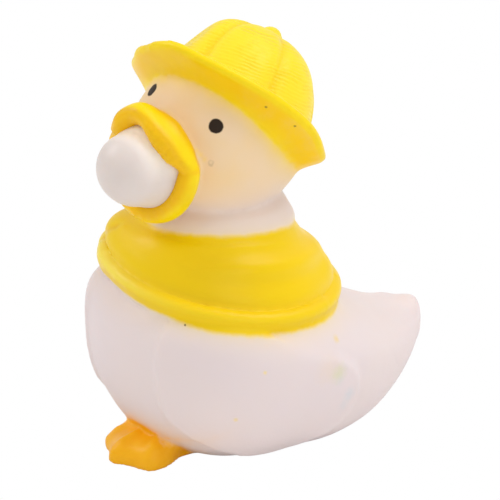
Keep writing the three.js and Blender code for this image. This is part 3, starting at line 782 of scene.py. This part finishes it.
# %% Lay the paint on the rubber and set the marks
# Each mark has a centre, a radius and a soft edge in millimetres, a share and a tone.
EYES = [((10.33, -7.28, 58.84), 1.17), ((-3.54, -10.15, 61.76), 1.17)]
MARKS = [
    ((22.2, 6.2, 17.8), 1.6, 2.4, 0.3, PEACH_PALE),
    ((22.28, 8.5, 16.4), 1.0, 1.6, 0.55, GREEN),
    ((22.28, 8.9, 15.0), 0.5, 1.2, 0.3, BLUE),
    ((21.56, 11.3, 11.6), 0.9, 1.2, 0.5, BLUE),
    ((21.4, 10.2, 10.0), 0.6, 1.3, 0.35, BLUE),
    ((20.25, 9.58, 21.55), 0.4, 0.7, 0.6, YELLOW_THICK_AND_SHADE),
    ((21.86, -6.13, 20.33), 0.25, 0.25, 0.5, YELLOW),
    ((19.03, -9.8, 11.98), 0.3, 0.3, 0.5, YELLOW),
    ((12.72, -15.19, 27.75), 0.15, 0.1, 0.8, SOOT),
    ((14.94, -0.97, 61.98), 0.22, 0.12, 0.7, SOOT),
    ((16.32, 3.68, 58.29), 0.18, 0.1, 0.7, SOOT),
    ((9.1, -11.0, 55.8), 0.3, 0.5, 0.4, YELLOW),
    ((9.4, -10.4, 55.1), 0.3, 0.5, 0.4, YELLOW),
    ((9.8, -9.9, 54.4), 0.3, 0.5, 0.35, YELLOW),
    ((10.2, -9.4, 53.7), 0.3, 0.5, 0.3, YELLOW),
    ((10.9, -8.7, 53.1), 0.5, 0.2, 0.25, SOOT),
    ((10.9, -8.7, 53.2), 0.32, 0.2, 0.8, PEACH_PALE),
]


def dot(centre, radius, soft, ragged):
    """How much of the skin one round mark covers."""
    values = {"Place": place, "Centre": [v * MM for v in centre], "Radius": radius}
    return n.group(mark, values | {"Soft": soft, "Ragged": ragged})["Cover"]


colour = n.mix(yellow, n.mix(mist, base, PEACH), paint)
thick_foot = n.span(n.noise(place, 240, 4, 0.6), 0.35, 0.7)
colour = n.mix(foot["Cover"], colour, n.mix(thick_foot, ORANGE, ORANGE_THICK))
for centre, radius, soft, strength, tone in MARKS:
    cover = dot(centre, radius, soft, max(0.5, soft))
    colour = n.mix(n.math("MULTIPLY", cover, strength), colour, tone)
eyes = 0.0
for centre, radius in EYES:
    eyes = n.math("MAXIMUM", eyes, dot(centre, radius, 0.12, 0.25))
colour = n.mix(eyes, colour, EYE)
print("marks", len(MARKS), "eyes", len(EYES))

# %% Finish the skin
LIGHT_DEPTH = 3 * MM
GRAIN_DEPTH, RIPPLE_DEPTH = 0.3 * MM, 0.06 * MM


def grained(scale, strength):
    """The normal of rubber with a fine grain."""
    values = {"Height": n.noise(place, scale, 2), "Strength": strength, "Distance": GRAIN_DEPTH}
    return n.add("ShaderNodeBump", inputs=values).outputs[0]


def finish_rubber(piece, made, inputs, specular, glow, glow_radius):
    """Closes a rubber material with its shader and gives it to a piece."""
    shader = n.add("ShaderNodeBsdfPrincipled", inputs=inputs)
    shader.inputs["Specular IOR Level"].default_value = specular
    shader.inputs["Subsurface Weight"].default_value = glow
    shader.inputs["Subsurface Radius"].default_value = glow_radius
    shader.inputs["Subsurface Scale"].default_value = LIGHT_DEPTH
    n.add("ShaderNodeOutputMaterial", inputs={"Surface": shader.outputs[0]})
    piece.data.materials.clear()
    piece.data.materials.append(made)
    print(piece.name, "material has", len(made.node_tree.nodes), "nodes")


ripple = {"Height": n.math("MULTIPLY", wave, strong), "Strength": 1.0, "Distance": RIPPLE_DEPTH}
bump = n.add("ShaderNodeBump", inputs=ripple | {"Normal": grained(2600, 0.06)}).outputs[0]
dull = n.span(n.noise(place, 300, 3), 0.3, 0.7, 0.45, 0.52)
rough = n.math("MULTIPLY_ADD", painted, -0.14, dull)
inputs = {"Base Color": colour, "Roughness": rough, "Normal": bump}
finish_rubber(skin, rubber, inputs, specular=0.2, glow=0.12, glow_radius=(1.0, 0.6, 0.45))

# %% [markdown]
# ## The bubble
#
# The bubble is the same rubber stretched thin, so it is smoother than the skin and lets more light in.
# On the toy it looks paler under the upper lip, perhaps from light that the lip throws back.
# A lamp could be set for that, but a measure kept on the bubble, which makes its colour paler there as
# painted light, leaves the light on the rest of the toy as it is.

# %% Make the bubble's material
FILM = (0.735, 0.645, 0.60, 1)
FILM_LIGHT = (0.765, 0.675, 0.63, 1)
FILM_LIT = (0.95, 0.88, 0.81, 1)
film, n = material("stretched white rubber")
place = n.add("ShaderNodeTexCoord").outputs["Object"]
tint = n.span(n.noise(place, 90, 2), 0.3, 0.7)
# Painted light: the bubble is paler under the lips.
base = n.mix(n.attribute("near_lips"), n.mix(tint, FILM, FILM_LIGHT), FILM_LIT)
inputs = {"Base Color": base, "Roughness": 0.38, "Normal": grained(2200, 0.03)}
finish_rubber(ball, film, inputs, specular=0.3, glow=0.2, glow_radius=(1.0, 0.7, 0.5))

# %% [markdown]
# ## Floor, light and camera
#
# The toy stands in a light tent: a white floor, an even white surround and soft lamps. The floor and the
# surround look plain white to the camera and stay an ordinary pale surface for every other ray.

# %% Build the floor
bpy.ops.object.select_all(action="DESELECT")
bpy.ops.mesh.primitive_plane_add(size=4, location=(0, 0, 0))
floor = bpy.context.object
floor.name = "studio_floor"
paper, n = material("white paper")
seen = n.add("ShaderNodeLightPath").outputs["Is Camera Ray"]
dull = n.add("ShaderNodeBsdfDiffuse", inputs={"Color": (0.9, 0.9, 0.9, 1)}).outputs[0]
plain = n.add("ShaderNodeEmission", inputs={"Color": (1, 1, 1, 1), "Strength": 1.0}).outputs[0]
both = n.add("ShaderNodeMixShader", inputs={0: seen, 1: dull, 2: plain}).outputs[0]
n.add("ShaderNodeOutputMaterial", inputs={"Surface": both})
floor.data.materials.append(paper)
print("floor", floor.name)

# %% Make the surround
world = bpy.data.worlds.new("light tent")
bpy.context.scene.world = world
world.use_nodes = True
world.node_tree.nodes.clear()
n = Nodes(world.node_tree)
seen = n.add("ShaderNodeLightPath").outputs["Is Camera Ray"]
level = n.span(seen, 0, 1, 0.68, 1.0, "LINEAR")
tent = n.add("ShaderNodeBackground", inputs={"Color": (1, 1, 1, 1), "Strength": level}).outputs[0]
n.add("ShaderNodeOutputWorld", inputs={"Surface": tent})
print("surround", world.name)

# %% Hang the lamps
TARGET = Vector((0, 6.8, 31.2)) * MM


def look_from(azimuth, height):
    """The direction from the toy to a place, given in degrees round it and above it."""
    a, e = math.radians(azimuth), math.radians(height)
    return Vector((math.sin(a) * math.cos(e), -math.cos(a) * math.cos(e), math.sin(e)))


def lamp(name, azimuth, height, away, size, power):
    """A round soft lamp that faces the toy, with its distance and size in metres."""
    out = look_from(azimuth, height)
    bpy.ops.object.light_add(type="AREA", location=TARGET + out * away)
    made = bpy.context.object
    made.name = name
    made.data.shape = "DISK"
    made.data.size = size
    made.data.energy = power
    made.rotation_euler = (-out).to_track_quat("-Z", "Y").to_euler()


lamp("top_lamp", 150, 62, 0.6, 0.4, 1.4)
lamp("left_lamp", -50, 38, 0.7, 0.3, 1.1)
lamp("right_lamp", 80, 20, 0.7, 0.5, 0.6)

# %% Set up the camera
AZIMUTH, ELEVATION, AWAY = 54, 22, 420 * MM
out = look_from(AZIMUTH, ELEVATION)
bpy.ops.object.camera_add(location=TARGET + out * AWAY)
camera = bpy.context.object
camera.rotation_euler = (-out).to_track_quat("-Z", "Y").to_euler()
camera.data.sensor_width = 36
camera.data.lens = 181.4
camera.data.clip_start = 0.01
bpy.context.scene.camera = camera
bpy.context.scene.view_settings.view_transform = "Standard"
print("camera at", [round(v, 3) for v in camera.location])
